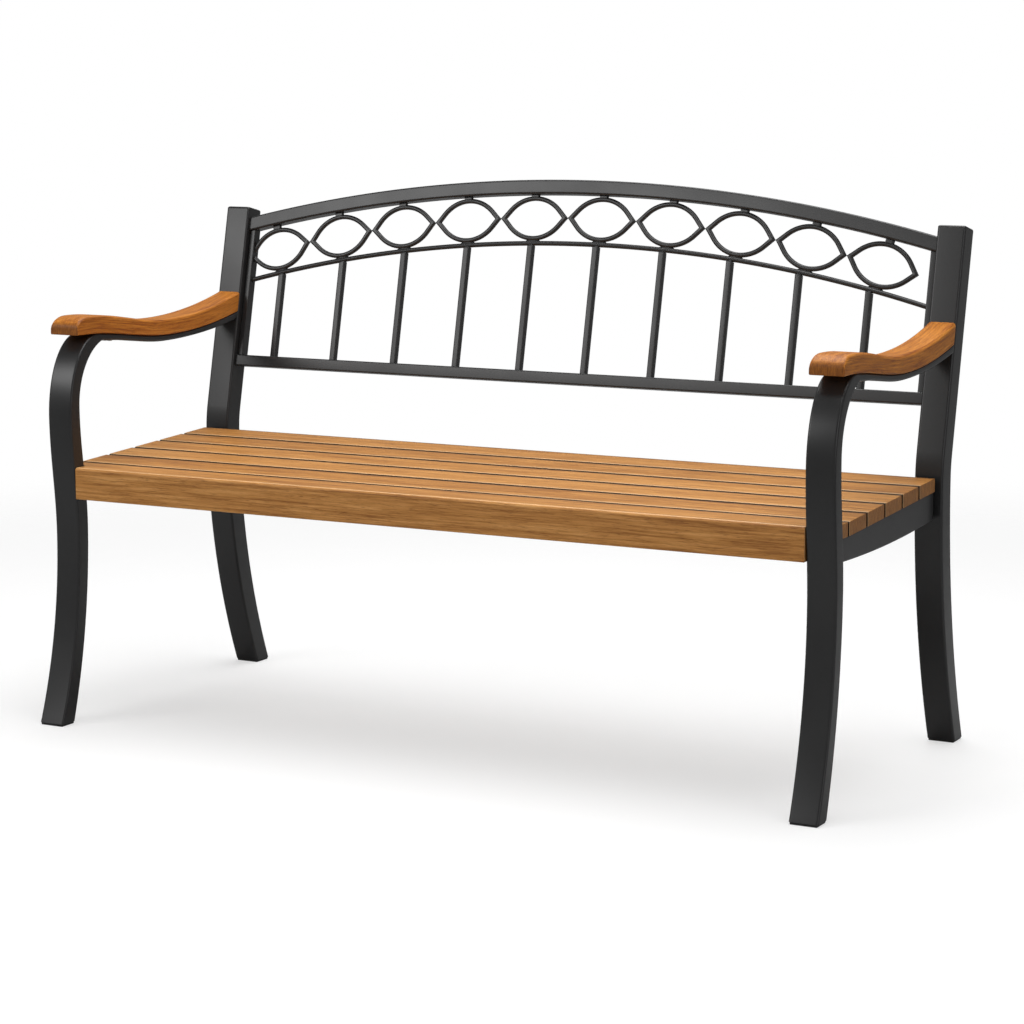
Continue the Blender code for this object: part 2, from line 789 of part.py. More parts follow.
def lug_height(x, rise, turn, across):
    """Height in the oval's own frame at which the lug meets the top rail."""
    height = OVAL_HALF_HEIGHT
    for _ in range(3):
        under = top_rail_under(x + across * math.cos(turn) - height * math.sin(turn))
        height = (under - GAP - rise - across * math.sin(turn)) / math.cos(turn)
    return height


def oval(number):
    """One oval of the row, turned to follow the arch and lugged to the top rail."""
    centre_radius = ARCH_RADIUS + ARCH_ROD_RADIUS + GAP + OVAL_HALF_HEIGHT
    place = OVAL_ROW_X + OVAL_PITCH * (number - (OVAL_COUNT + 1) / 2)
    turn = -place / centre_radius
    x = -centre_radius * math.sin(turn)
    rise = ARCH_ROD_APEX - ARCH_RADIUS + centre_radius * math.cos(turn)
    lugs = [lug_height(x, rise, turn, side * LUG_HALF_WIDTH) for side in (-1, 1)]
    edges = [oval_edge(OVAL_BAR / 2, lugs), oval_edge(-OVAL_BAR / 2)]
    frame = panel_frame(MEMBER_RECESS) @ Matrix.Translation((x, rise, 0))
    frame = frame @ Matrix.Rotation(turn, 4, "Z")
    body = plate(f"oval_{number:02d}", edges, OVAL_BAR, BAR_EDGE, frame, PAINT)
    if abs(x) + OVAL_PITCH / 2 > STILE_FACE:
        middle = math.copysign(STILE_FACE + OVAL_PITCH / 2, x)
        centre = panel_frame(MEMBER_RECESS) @ Vector((middle, rise, 0))
        cut(body, box("oval_trim", (OVAL_PITCH,) * 3, centre, PAINT))


def back_panel():
    top_rail()
    bottom_rail()
    outer = POST_INNER_X - GAP
    inner = outer - STILE_WIDTH
    upright("stile_left", -outer, -inner, top_rail_under, STILE_DEPTH)
    upright("stile_right", inner, outer, top_rail_under, STILE_DEPTH)
    arch_rod()
    for number in range(1, SPINDLE_COUNT + 1):
        x = SPINDLE_ROW_X + SPINDLE_PITCH * (number - (SPINDLE_COUNT + 1) / 2)
        half = SPINDLE_SIZE / 2
        upright(f"spindle_{number:02d}", x - half, x + half, arch_rod_under, SPINDLE_SIZE)
    for number in range(1, OVAL_COUNT + 1):
        oval(number)


def main():
    end_frame("left", -END_X)
    end_frame("right", END_X)
    seat()
    back_panel()
    for obj in BENCH.objects:
        if obj.type == "MESH":
            obj.data.shade_smooth()
            obj.data.set_sharp_from_angle(angle=math.radians(30))


main()
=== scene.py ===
"""Studio picture of the garden bench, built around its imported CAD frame.

Metres, in the frame's own axes. Profiles are (back, up): the distance behind the front
toe, and the height above the lowest steel. The back panel is (x, rise): rise is the
distance up the leaning plane of the posts' front faces.
"""

import json
import math

import bmesh
import bpy
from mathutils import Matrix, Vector


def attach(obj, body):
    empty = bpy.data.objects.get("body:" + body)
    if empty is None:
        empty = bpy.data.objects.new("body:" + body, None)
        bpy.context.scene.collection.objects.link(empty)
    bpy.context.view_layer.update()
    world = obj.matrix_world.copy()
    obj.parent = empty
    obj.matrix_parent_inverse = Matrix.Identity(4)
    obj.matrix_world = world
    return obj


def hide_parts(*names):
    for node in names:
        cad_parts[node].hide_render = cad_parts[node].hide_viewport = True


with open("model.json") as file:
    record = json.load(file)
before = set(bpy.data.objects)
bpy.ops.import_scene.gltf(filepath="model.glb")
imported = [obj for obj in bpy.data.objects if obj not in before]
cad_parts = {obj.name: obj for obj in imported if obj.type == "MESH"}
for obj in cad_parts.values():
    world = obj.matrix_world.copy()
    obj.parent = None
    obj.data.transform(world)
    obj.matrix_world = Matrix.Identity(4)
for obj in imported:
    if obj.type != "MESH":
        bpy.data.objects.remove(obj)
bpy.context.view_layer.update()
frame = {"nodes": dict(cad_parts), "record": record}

# Overall sizes, as in the CAD source
LENGTH = 1.270
DEPTH = 0.5736
SOLE = 0.003
TUBE = 0.0428
TUBE_CORNER = 0.0036
END_X = (LENGTH - TUBE) / 2
SIDES = (("left", -END_X), ("right", END_X))
POST_INNER_X = LENGTH / 2 - TUBE
GAP = 0.0003
STEEL_EASE = 0.0006
WOOD_EASE = 0.0012

# End frames. Pairs are the front and the back edge of a tube
LEG_TOE = (0.0, 0.032)
LEG_KNEE = ((0.052, 0.280), (0.0775, 0.300))
LEG_NECK = ((0.0395, 0.465), (0.0635, 0.478))
BEND = ((0.0720, 0.1213), (0.0855, 0.1010))
BEND_END = 0.126
SUPPORT_START = 0.134
POST_TOE = (0.538, DEPTH)
POST_FRONT = 0.458
POST_DEPTH = 0.038
POST_KNEE_Z = 0.400
POST_EASE = 0.0004
LEAN_Z = 0.420
LEAN = math.radians(12.24)
POST_RISE = 0.3489
CAP_THICKNESS = 0.003
CAP_ROUND = 0.0028
CAP_SEAM = 0.0001

# Armrests. A sagging line is its lowest point, its front end and its rear end
ARM_WIDTH = (0.050, 0.042)
ARM_CORNERS = (0.0018, 0.0050)
ARM_NOSE = 0.0560
ARM_SHOULDER = (0.085, 0.598)
ARM_UNDER = ((0.300, 0.570), (0.080, 0.5875), (0.487, 0.590))
ARM_OVER = ((0.290, 0.595), (0.090, 0.6145), (0.487, 0.6195))
SUPPORT_UNDER = ((0.290, 0.5602), (BEND_END, 0.5734), (0.482, 0.5775))
ARM_SCREWS = {"front": 0.170, "rear": 0.400}
ARM_SCREW_HEAD = dict(radius=0.0045, height=0.0018)

# Seat
SLATS = 6
SLAT_PITCH = 0.0679
SLAT_WIDTH = 0.0629
SLAT_THICKNESS = 0.020
SLAT_LENGTH = 1.255
SLAT_CORNERS = (0.0018, 0.0028)
SEAT_FRONT = 0.045
SEAT_FRONT_Z = 0.3885
SEAT_SLOPE = 0.047
FRONT_SLAT_ROUND = 0.0042
FRONT_SLAT_REAR_ROUND = 0.0026
FRONT_SLAT_EASE = 0.0009
APRON_BOTTOM = 0.3405
APRON_THICKNESS = 0.018
APRON_CHAMFER = 0.0012
NOTCH_BACK = 0.0740
NOTCH_CLEARANCE = 0.0010
NOTCH_X = POST_INNER_X - NOTCH_CLEARANCE
NOTCH_CUTTER = 0.1
NOTCH_CUTTER_Z = SEAT_FRONT_Z - 0.04
RAIL_WIDTH = 0.020
RAIL_CORNER = 0.0020
RAIL_INSET = 0.0105
RAIL_X = LENGTH / 2 - RAIL_INSET - RAIL_WIDTH / 2
RAIL_END = 0.450
RAIL_LOW = (0.210, 0.3333)
RAIL_BOW = 0.16
RAIL_SLANT = 0.0006
SLAT_SCREWS_FROM = 0.0925
SLAT_SCREWS_TO = RAIL_END - 0.02
SLAT_SCREW_STAND = 0.0002
SLAT_SCREW_HEAD = dict(radius=0.0042, height=0.0024)

# Back panel
COUNT = 10
MEMBER_RECESS = 0.0185
TOP_RAIL = dict(apex=0.4053, height=0.0222, depth=0.022, radius=2.46, recess=0.007)
TOP_RAIL_CORNER = 0.0030
BOTTOM_RAIL = dict(top=0.1058, height=0.018, depth=0.020, recess=0.007)
BOTTOM_RAIL_CORNER = 0.0022
STILE_WIDTH = 0.010
STILE_DEPTH = 0.016
STILE_CORNER = 0.0016
STILE_FACE = POST_INNER_X - STILE_WIDTH - 2 * GAP
ROD_APEX = 0.3069
ROD_RADIUS = 0.0038
ARCH_RADIUS = 2.27
SPINDLE = 0.0105
SPINDLE_CORNER = 0.0022
SPINDLE_PITCH = 0.1130
SPINDLE_ROW_X = -0.0175
OVAL_PITCH = 0.1170
OVAL_ROW_X = -0.0147
OVAL_BAR = 0.0074
OVAL_CORNER = 0.0030
OVAL_HALF = 0.0350
OVAL_FLARE = math.radians(48)
OVAL_TIP_GAP = 0.0002
LUG_HALF = 0.0065
LUG_OVERLAP = 0.0018
LUG_THINNER = 0.0008
LUG_CORNER = 0.0006
LUG_EASE = 0.0008

# Welds, as length, height and depth
OVAL_WELD = (0.026, 0.0044, 0.0060)
SPINDLE_FOOT_WELD = (0.0145, 0.0030, 0.0145)
SPINDLE_HEAD_WELD = (0.0125, 0.0036, 0.0085)
FOOT_WELD_RISE = 0.0001
HEAD_WELD_RISE = 0.0006

# Colours, linear
PAINT_TONES = [(0.3, (0.0135, 0.0135, 0.0138)), (0.7, (0.0170, 0.0170, 0.0174))]
PAINT_FLECK = (0.032, 0.032, 0.033, 1)
PLASTIC_TONES = [(0.3, (0.010, 0.010, 0.010)), (0.7, (0.018, 0.018, 0.018))]
ZINC_TONES = [(0.3, (0.36, 0.36, 0.35)), (0.7, (0.52, 0.52, 0.50))]
SEAT_TONES = [
    (0.40, (0.290, 0.108, 0.022)), (0.46, (0.425, 0.178, 0.040)),
    (0.53, (0.545, 0.245, 0.062)), (0.61, (0.660, 0.325, 0.098)),
]
ARM_TONES = [
    (0.40, (0.250, 0.068, 0.006)), (0.46, (0.385, 0.123, 0.012)),
    (0.53, (0.500, 0.176, 0.020)), (0.61, (0.620, 0.240, 0.035)),
]
PORE_TONE = (0.38, 0.30, 0.22, 1)
# Painted highlight for each seat board's front edge
PAINTED_HIGHLIGHT_TONE = (0.95, 0.66, 0.36, 1)
# Painted shade for the seat's grooves and the boards' rear edges
PAINTED_SHADE_TONE = (0.030, 0.011, 0.002, 1)
END_GRAIN_DARK = 0.45
END_GRAIN_LIGHT = 0.9
WHITE = (1, 1, 1, 1)
FLOOR_TONE = (0.45, 0.45, 0.45, 1)

# Studio
FLOOR_DROP = 0.0004
FLOOR_RADIUS = 40.0
FLOOR_SIDES = 96
FLOOR_GLOW = 0.56
FLOOR_FADE = (1.5, 3.0)
WORLD_LIGHT = 0.24
CAMERA_PLACE = (1.9608, -3.6301, 0.9790)
CAMERA_TURN = math.radians(28.046)
CAMERA_DOWN = math.radians(8.881)
CAMERA_LENS = 98.60
CAMERA_SENSOR = 36.0

X_AXIS = Vector((1, 0, 0))
PANEL_UP = Vector((0, math.sin(LEAN), math.cos(LEAN)))
PANEL_IN = Vector((0, math.cos(LEAN), -math.sin(LEAN)))


# ---------------------------------------------------------------- shader nodes

def new_material(name):
    material = bpy.data.materials.new(name)
    material.use_nodes = True
    tree = material.node_tree
    return material, tree, tree.nodes["Principled BSDF"]


def node(tree, kind, inputs=None, **settings):
    """A node with its settings, and its inputs as plain values or linked sockets."""
    made = tree.nodes.new(kind)
    for key, value in settings.items():
        setattr(made, key, value)
    for key, value in (inputs or {}).items():
        if isinstance(value, bpy.types.NodeSocket):
            tree.links.new(value, made.inputs[key])
        else:
            made.inputs[key].default_value = value
    return made


def ramp(tree, factor, stops):
    made = node(tree, "ShaderNodeValToRGB", {"Fac": factor})
    elements = made.color_ramp.elements
    while len(elements) < len(stops):
        elements.new(0.5)
    for element, (place, colour) in zip(elements, stops):
        element.position = place
        element.color = (*colour, 1.0)
    return made.outputs["Color"]


def noise(tree, where, scale, detail=3.0, roughness=0.5, distortion=0.0):
    inputs = {
        "Vector": where, "Scale": scale, "Detail": detail,
        "Roughness": roughness, "Distortion": distortion,
    }
    return node(tree, "ShaderNodeTexNoise", inputs).outputs["Fac"]


def math_node(tree, operation, a, b=0.0, c=0.0):
    return node(tree, "ShaderNodeMath", {0: a, 1: b, 2: c}, operation=operation).outputs[0]


def product(tree, a, b):
    return math_node(tree, "MULTIPLY", a, b)


def larger(tree, a, b):
    return math_node(tree, "MAXIMUM", a, b)


def vector_math(tree, operation, a, b):
    return node(tree, "ShaderNodeVectorMath", {0: a, 1: b}, operation=operation).outputs[0]


def remap(tree, value, source, target=(0.0, 1.0), blend="LINEAR"):
    """The value carried from the source range to the target range, and held at its ends."""
    inputs = {
        "Value": value, "From Min": source[0], "From Max": source[1],
        "To Min": target[0], "To Max": target[1],
    }
    return node(tree, "ShaderNodeMapRange", inputs, interpolation_type=blend).outputs["Result"]


def mix(tree, blend, factor, a, b):
    inputs = {0: factor, 6: a, 7: b}
    return node(tree, "ShaderNodeMix", inputs, data_type="RGBA", blend_type=blend).outputs[2]


def bumped(tree, shader, height, distance, strength, radius):
    """Fine relief on the shader, over edges rounded to this radius."""
    soft = node(tree, "ShaderNodeBevel", {"Radius": radius}, samples=4)
    bump = node(tree, "ShaderNodeBump", {
        "Height": height, "Distance": distance, "Strength": strength,
        "Normal": soft.outputs["Normal"],
    })
    tree.links.new(bump.outputs["Normal"], shader.inputs["Normal"])


# ---------------------------------------------------------------- materials

def powder_coat():
    """Charcoal powder coat: fine orange peel, a faint cloud in tone and gloss."""
    material, tree, shader = new_material("powder_coat")
    where = node(tree, "ShaderNodeTexCoord").outputs["Object"]
    peel = noise(tree, where, scale=620.0, detail=2.0)
    cloud = noise(tree, where, scale=7.0, detail=4.0)
    fleck = noise(tree, where, scale=2600.0, detail=1.0)
    tone = ramp(tree, cloud, PAINT_TONES)
    speck = remap(tree, fleck, (0.55, 0.75), (0.0, 0.30))
    colour = mix(tree, "MIX", speck, tone, PAINT_FLECK)
    tree.links.new(colour, shader.inputs["Base Color"])
    gloss = remap(tree, cloud, (0.3, 0.7), (0.30, 0.38))
    tree.links.new(gloss, shader.inputs["Roughness"])
    shader.inputs["Specular IOR Level"].default_value = 0.5
    bumped(tree, shader, peel, distance=0.00025, strength=0.10, radius=0.0012)
    return material


def board_grain(tree, where, from_front, pitch):
    """Each board's own place in the grain, and its own small change in tone."""
    number = math_node(tree, "FLOOR", math_node(tree, "DIVIDE", from_front, pitch))
    pick = node(tree, "ShaderNodeTexWhiteNoise", {"W": number}, noise_dimensions="1D")
    shift = vector_math(tree, "MULTIPLY", pick.outputs["Color"], (3.0, 3.0, 3.0))
    change = remap(tree, pick.outputs["Value"], (0.0, 1.0), (-0.02, 0.02))
    return vector_math(tree, "ADD", where, shift), change


def board_painted_shade_and_highlight(tree, colour, from_front, pitch, facing):
    """Painted shade in the grooves between boards, a painted highlight on each front edge."""
    across = math_node(tree, "FLOORED_MODULO", from_front, pitch)
    on_top = remap(tree, facing[2], (0.80, 0.95))
    front = product(tree, facing[1], -1.0)

    # Painted shade: the front sides of the boards behind the first, the rear strip of each top,
    # and the rear-facing sides
    behind_first = remap(tree, from_front, (0.010, 0.014))
    near_side_shade = product(tree, behind_first, remap(tree, front, (0.40, 0.55)))
    rear_corner = (SLAT_WIDTH - 0.0070, SLAT_WIDTH + 0.0010)
    far_edge_shade = product(tree, on_top, remap(tree, across, rear_corner, (0.0, 0.90)))
    far_side_shade = remap(tree, facing[1], (0.20, 0.60), (0.0, 0.90))
    painted_shade = larger(tree, larger(tree, near_side_shade, far_edge_shade), far_side_shade)

    # Painted highlight along each board's front top edge and its rounding
    near_edge_highlight = product(tree, on_top, remap(tree, across, (0.0050, 0.0100), (0.40, 0.0)))
    rising = remap(tree, front, (0.06, 0.20))
    falling = remap(tree, front, (0.34, 0.46), (1.0, 0.0))
    rounding_highlight = product(tree, product(tree, rising, falling), 0.65)
    painted_highlight = larger(tree, near_edge_highlight, rounding_highlight)

    colour = mix(tree, "MIX", painted_highlight, colour, PAINTED_HIGHLIGHT_TONE)
    return mix(tree, "MIX", painted_shade, colour, PAINTED_SHADE_TONE)


def oiled_wood(name, along, tones, fineness, board=None):
    """Oiled hardwood with its grain along one axis and end grain on its ends.

    board is (start, pitch) along Y: boards side by side, each with its own grain, painted shade
    in its grooves and a painted highlight on its front edge. Without it, the grain follows
    the piece's own grain attribute.
    """
    material, tree, shader = new_material(name)
    coordinates = node(tree, "ShaderNodeTexCoord")
    facing = node(tree, "ShaderNodeSeparateXYZ", {0: coordinates.outputs["Normal"]}).outputs
    if board:
        start, pitch = board
        where = coordinates.outputs["Object"]
        back = node(tree, "ShaderNodeSeparateXYZ", {0: where}).outputs["Y"]
        from_front = math_node(tree, "SUBTRACT", back, start)
        where, change = board_grain(tree, where, from_front, pitch)
    else:
        where = node(tree, "ShaderNodeAttribute", attribute_name="grain").outputs["Vector"]

    def stretched(amount, upright=1.0):
        scale = [1.0, 1.0, upright]
        scale[along] = amount
        return node(tree, "ShaderNodeMapping", {"Vector": where, "Scale": scale}).outputs[0]

    drift = noise(tree, stretched(0.10), 22.0 * fineness, detail=3.0)
    figure = noise(
        tree, stretched(0.050), 170.0 * fineness, detail=5.0, roughness=0.66, distortion=0.4)
    streak = noise(tree, stretched(0.022), 520.0 * fineness, detail=4.0, roughness=0.65)
    pores = noise(tree, stretched(0.045), 1400.0, detail=2.0, roughness=0.6)
    rings = noise(tree, stretched(1.0, 0.12), 620.0, detail=3.0, roughness=0.7)

    grain = product(tree, drift, 0.16)
    grain = math_node(tree, "MULTIPLY_ADD", streak, 0.38, grain)
    grain = math_node(tree, "MULTIPLY_ADD", figure, 0.46, grain)
    if board:
        grain = math_node(tree, "ADD", grain, change)
    colour = ramp(tree, grain, tones)
    pore = remap(tree, pores, (0.56, 0.70), (0.0, 0.75))
    in_pore = mix(tree, "MULTIPLY", 1.0, colour, PORE_TONE)
    colour = mix(tree, "MIX", pore, colour, in_pore)

    end = math_node(tree, "ABSOLUTE", facing[along])
    end_tone = ramp(tree, rings, [
        (0.36, tuple(END_GRAIN_DARK * value for value in tones[0][1])),
        (0.64, tuple(END_GRAIN_LIGHT * value for value in tones[1][1])),
    ])
    colour = mix(tree, "MIX", remap(tree, end, (0.70, 0.95), (0.0, 0.85)), colour, end_tone)
    # Painted shade in the grooves and a painted highlight on each board's front edge
    if board:
        colour = board_painted_shade_and_highlight(tree, colour, from_front, pitch, facing)
    tree.links.new(colour, shader.inputs["Base Color"])

    gloss = remap(tree, streak, (0.3, 0.7), (0.40, 0.54))
    tree.links.new(gloss, shader.inputs["Roughness"])
    shader.inputs["Specular IOR Level"].default_value = 0.30
    relief = math_node(tree, "SUBTRACT", streak, product(tree, pore, 0.6))
    bumped(tree, shader, relief, distance=0.00035, strength=0.35, radius=0.0008)
    return material


def moulded_plastic():
    material, tree, shader = new_material("moulded_plastic")
    where = node(tree, "ShaderNodeTexCoord").outputs["Object"]
    grit = noise(tree, where, scale=900.0, detail=2.0)
    tree.links.new(ramp(tree, grit, PLASTIC_TONES), shader.inputs["Base Color"])
    shader.inputs["Roughness"].default_value = 0.65
    bumped(tree, shader, grit, distance=0.0002, strength=0.3, radius=0.0006)
    return material


def zinc():
    material, tree, shader = new_material("zinc_plate")
    where = node(tree, "ShaderNodeTexCoord").outputs["Object"]
    brushed = noise(tree, where, scale=1500.0)
    tree.links.new(ramp(tree, brushed, ZINC_TONES), shader.inputs["Base Color"])
    shader.inputs["Metallic"].default_value = 0.9
    gloss = remap(tree, brushed, (0.3, 0.7), (0.30, 0.42))
    tree.links.new(gloss, shader.inputs["Roughness"])
    bumped(tree, shader, brushed, distance=0.0001, strength=0.2, radius=0.0004)
    return material


BOARDS_START = SEAT_FRONT - DEPTH / 2 - (SLAT_PITCH - SLAT_WIDTH) / 2
BOARDS = (BOARDS_START, SLAT_PITCH)
FINISH = {
    "frame_paint": powder_coat(),
    "seat_wood": oiled_wood("oiled_slats", 0, SEAT_TONES, fineness=1.0, board=BOARDS),
    "arm_wood": oiled_wood("oiled_arms", 1, ARM_TONES, fineness=1.25),
    "glide_plastic": moulded_plastic(),
    "screw_steel": zinc(),
}


# ---------------------------------------------------------------- building pieces

def keep_faces_flat(obj):
    """Shades the broad faces flat, and bends the light only round the edges."""
    weighted = obj.modifiers.new("flat_faces_stay_flat", "WEIGHTED_NORMAL")
    weighted.keep_sharp = True


def piece(name, shape, slot, *nodes, crease=38):
    """A mesh that rides on the bench, in that slot's finish, in place of these nodes."""
    bmesh.ops.recalc_face_normals(shape, faces=shape.faces)
    mesh = bpy.data.meshes.new(name)
    shape.to_mesh(mesh)
    shape.free()
    mesh.materials.append(FINISH[slot])
    mesh.shade_smooth()
    mesh.set_sharp_from_angle(angle=math.radians(crease))
    obj = bpy.data.objects.new(name, mesh)
    bpy.context.scene.collection.objects.link(obj)
    keep_faces_flat(obj)
    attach(obj, "root")
    if nodes:
        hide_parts(*nodes)
    return obj


def ring(low, high, side, width, corner, facets=3):
    """Rounded rectangle on the line low-high, this wide along side.

    corner is one radius, or a pair: at the low edge and at the high edge.
    """
    low_corner, high_corner = corner if isinstance(corner, tuple) else (corner, corner)
    middle = (low + high) / 2
    across = (high - low).normalized()
    reach = (high - low).length / 2
    points = []
    for quarter, (u, v) in enumerate(((1, 1), (-1, 1), (-1, -1), (1, -1))):
        radius = min(high_corner if v > 0 else low_corner, reach * 0.96, width * 0.48)
        for facet in range(facets + 1):
            turn = math.pi / 2 * (quarter + facet / facets)
            a = u * (width / 2 - radius) + radius * math.cos(turn)
            b = v * (reach - radius) + radius * math.sin(turn)
            points.append(middle + side * a + across * b)
    return points


def soften(rings, amount):
    """The same rings with both ends of the bar eased over by this amount."""
    def eased(end, beyond):
        centre = sum(end, Vector()) / len(end)
        along = (sum(beyond, Vector()) / len(beyond) - centre).normalized() * amount
        inward = [(centre - point).normalized() * amount for point in end]
        return [
            [point + pull for point, pull in zip(end, inward)],
            [point + pull * 0.3 + along * 0.3 for point, pull in zip(end, inward)],
            [point + along for point in end],
        ]

    first = eased(rings[0], rings[1])
    last = eased(rings[-1], rings[-2])
    return first + rings[1:-1] + last[::-1]


def loft(shape, rings, closed=False):
    """Adds a bar through the rings to the shape."""
    rows = [[shape.verts.new(point) for point in points] for points in rings]
    pairs = list(zip(rows, rows[1:]))
    if closed:
        pairs.append((rows[-1], rows[0]))
    count = len(rows[0])
    for one, other in pairs:
        for i in range(count):
            j = (i + 1) % count
            shape.faces.new((one[i], one[j], other[j], other[i]))
    if not closed:
        shape.faces.new(rows[0][::-1])
        shape.faces.new(rows[-1])


def bar(name, slot, rings, *nodes, crease=38):
    shape = bmesh.new()
    loft(shape, rings)
    return piece(name, shape, slot, *nodes, crease=crease)


def steps(count):
    return [i / count for i in range(count + 1)]


def lerp(a, b, t):
    return a + (b - a) * t


def ease(t):
    return (1 - math.cos(math.pi * min(max(t, 0.0), 1.0))) / 2


def placed(x, point):
    return Vector((x, point[0] - DEPTH / 2, point[1] + SOLE))


def on_panel(x, rise, recess=MEMBER_RECESS):
    foot = Vector((x, POST_FRONT - DEPTH / 2, LEAN_Z + SOLE))
    return foot + PANEL_UP * rise + PANEL_IN * recess


# ---------------------------------------------------------------- end frames

def toe_arc(toe, knee, up):
    """Back of an arc from (toe, 0) that is upright at the knee."""
    reach = toe - knee[0]
    radius = (knee[1] ** 2 + reach ** 2) / (2 * abs(reach))
    sweep = radius - math.sqrt(radius ** 2 - (knee[1] - up) ** 2)
    return knee[0] + math.copysign(sweep, reach)


def sag(back, line):
    """Height of a dip: eased down from the front, and rising as a square to the rear."""
    low, front, rear = line
    if back < low[0]:
        return lerp(low[1], front[1], ease((low[0] - back) / (low[0] - front[0])))
    return lerp(low[1], rear[1], ((back - low[0]) / (rear[0] - low[0])) ** 2)


def leg_line(which):
    """Front (0) or back (1) edge of the leg, from the toe round the bend."""
    toe, knee, neck, bend = LEG_TOE[which], LEG_KNEE[which], LEG_NECK[which], BEND[which]
    line = []
    for t in steps(22):
        up = knee[1] * t
        line.append((toe_arc(toe, knee, up), up))
    for t in steps(14)[1:]:
        line.append((lerp(knee[0], neck[0], ease(t)), lerp(knee[1], neck[1], t)))
    sweep = math.pi / 2 if which == 0 else math.acos(1 - (BEND_END - neck[0]) / bend[0])
    for t in steps(18)[1:]:
        turn = sweep * t
        back = neck[0] + bend[0] * (1 - math.cos(turn))
        line.append((back, neck[1] + bend[1] * math.sin(turn)))
    return line


def meet_post(line):
    """Where a sagging line reaches the leaning post."""
    back = POST_FRONT
    for _ in range(8):
        back = POST_FRONT + (sag(back, line) - LEAN_Z) * math.tan(LEAN) - GAP
    return back


def leg(side, x):
    """The leg, bent back under the armrest and running on as the bar below it."""
    front = leg_line(0)
    back = leg_line(1)
    over_end = meet_post(ARM_UNDER)
    under_end = meet_post(SUPPORT_UNDER)
    for t in steps(26):
        over = lerp(SUPPORT_START, over_end, t)
        under = lerp(SUPPORT_START, under_end, t)
        front.append((over, sag(over, ARM_UNDER) - GAP))
        back.append((under, sag(under, SUPPORT_UNDER)))
    rings = [
        ring(placed(x, a), placed(x, b), X_AXIS, TUBE, TUBE_CORNER)
        for a, b in zip(front, back)
    ]
    bar("leg_" + side, "frame_paint", soften(rings, STEEL_EASE),
        "front_leg_" + side, "arm_support_" + side)


def post(side, x):
    """The rear post: kicked back at its foot, and leaning back above the seat."""
    edges = []
    knee = (POST_FRONT, POST_KNEE_Z)
    knee_back = (POST_FRONT + POST_DEPTH, POST_KNEE_Z)
    for t in steps(28):
        up = POST_KNEE_Z * t
        front = (toe_arc(POST_TOE[0], knee, up), up)
        back = (toe_arc(POST_TOE[1], knee_back, up), up)
        edges.append((placed(x, front), placed(x, back)))
    radius = (LEAN_Z - POST_KNEE_Z) / math.tan(LEAN / 2)
    for t in steps(6)[1:]:
        turn = LEAN * t
        front, back = (
            (POST_FRONT + radius - r * math.cos(turn), POST_KNEE_Z + r * math.sin(turn))
            for r in (radius, radius - POST_DEPTH)
        )
        edges.append((placed(x, front), placed(x, back)))
    top = POST_RISE - CAP_THICKNESS
    edges.append((on_panel(x, top, 0), on_panel(x, top, POST_DEPTH)))
    rings = [ring(front, back, X_AXIS, TUBE, TUBE_CORNER) for front, back in edges]
    bar("post_" + side, "frame_paint", soften(rings, POST_EASE), "rear_post_" + side)


def post_cap(side, x):
    """Cap with a pillowed top."""
    rings = []
    for t in steps(5):
        turn = math.pi / 2 * t
        inset = CAP_ROUND * (1 - math.cos(turn))
        rise = POST_RISE - CAP_THICKNESS + CAP_SEAM + CAP_ROUND * math.sin(turn)
        rings.append(ring(
            on_panel(x, rise, inset), on_panel(x, rise, POST_DEPTH - inset),
            X_AXIS, TUBE - 2 * inset, TUBE_CORNER,
        ))
    bar("cap_" + side, "frame_paint", rings, "post_cap_" + side, crease=60)


def arm(side, x):
    """Sagging wooden armrest, wider at its rounded nose."""
    under_end = meet_post(ARM_UNDER)
    over_end = meet_post(ARM_OVER)
    stations = []
    reach = ARM_SHOULDER[0] - ARM_NOSE
    rise = ARM_OVER[1][1] - ARM_SHOULDER[1]
    for t in steps(12)[:-1]:
        turn = math.pi / 2 * (1 - t)
        back = ARM_SHOULDER[0] - reach * math.sin(turn)
        over = ARM_SHOULDER[1] + rise * math.cos(turn)
        stations.append(((back, sag(back, ARM_UNDER)), (back, over)))
    for t in steps(36):
        under = lerp(ARM_SHOULDER[0], under_end, t)
        over = lerp(ARM_SHOULDER[0], over_end, t)
        stations.append(((under, sag(under, ARM_UNDER)), (over, sag(over, ARM_OVER))))
    rings = []
    for low, high in stations:
        along = (low[0] - ARM_NOSE) / (under_end - ARM_NOSE)
        width = lerp(*ARM_WIDTH, along)
        rings.append(ring(placed(x, low), placed(x, high), X_AXIS, width, ARM_CORNERS, 4))
    obj = bar("arm_" + side, "arm_wood", soften(rings, WOOD_EASE), "armrest_" + side)
    add_grain(obj)


def add_grain(obj):
    """Grain coordinates that follow the sag of the armrest's underside."""
    grain = obj.data.attributes.new("grain", "FLOAT_VECTOR", "POINT")
    for vertex, value in zip(obj.data.vertices, grain.data):
        across, along, up = vertex.co
        value.vector = (across, along, up - SOLE - sag(along + DEPTH / 2, ARM_UNDER))


# ---------------------------------------------------------------- seat

def seat_over(back):
    """Height of the boards' tops: level on the front one, then rising to the rear."""
    return SEAT_FRONT_Z + max(0.0, back - SEAT_FRONT - SLAT_PITCH) * SEAT_SLOPE


def rail_under(back):
    """Height of the bowed seat rails' undersides."""
    return RAIL_LOW[1] + RAIL_BOW * (back - RAIL_LOW[0]) ** 2


def slat_middle(number):
    return SEAT_FRONT + SLAT_PITCH * (number - 1) + SLAT_WIDTH / 2


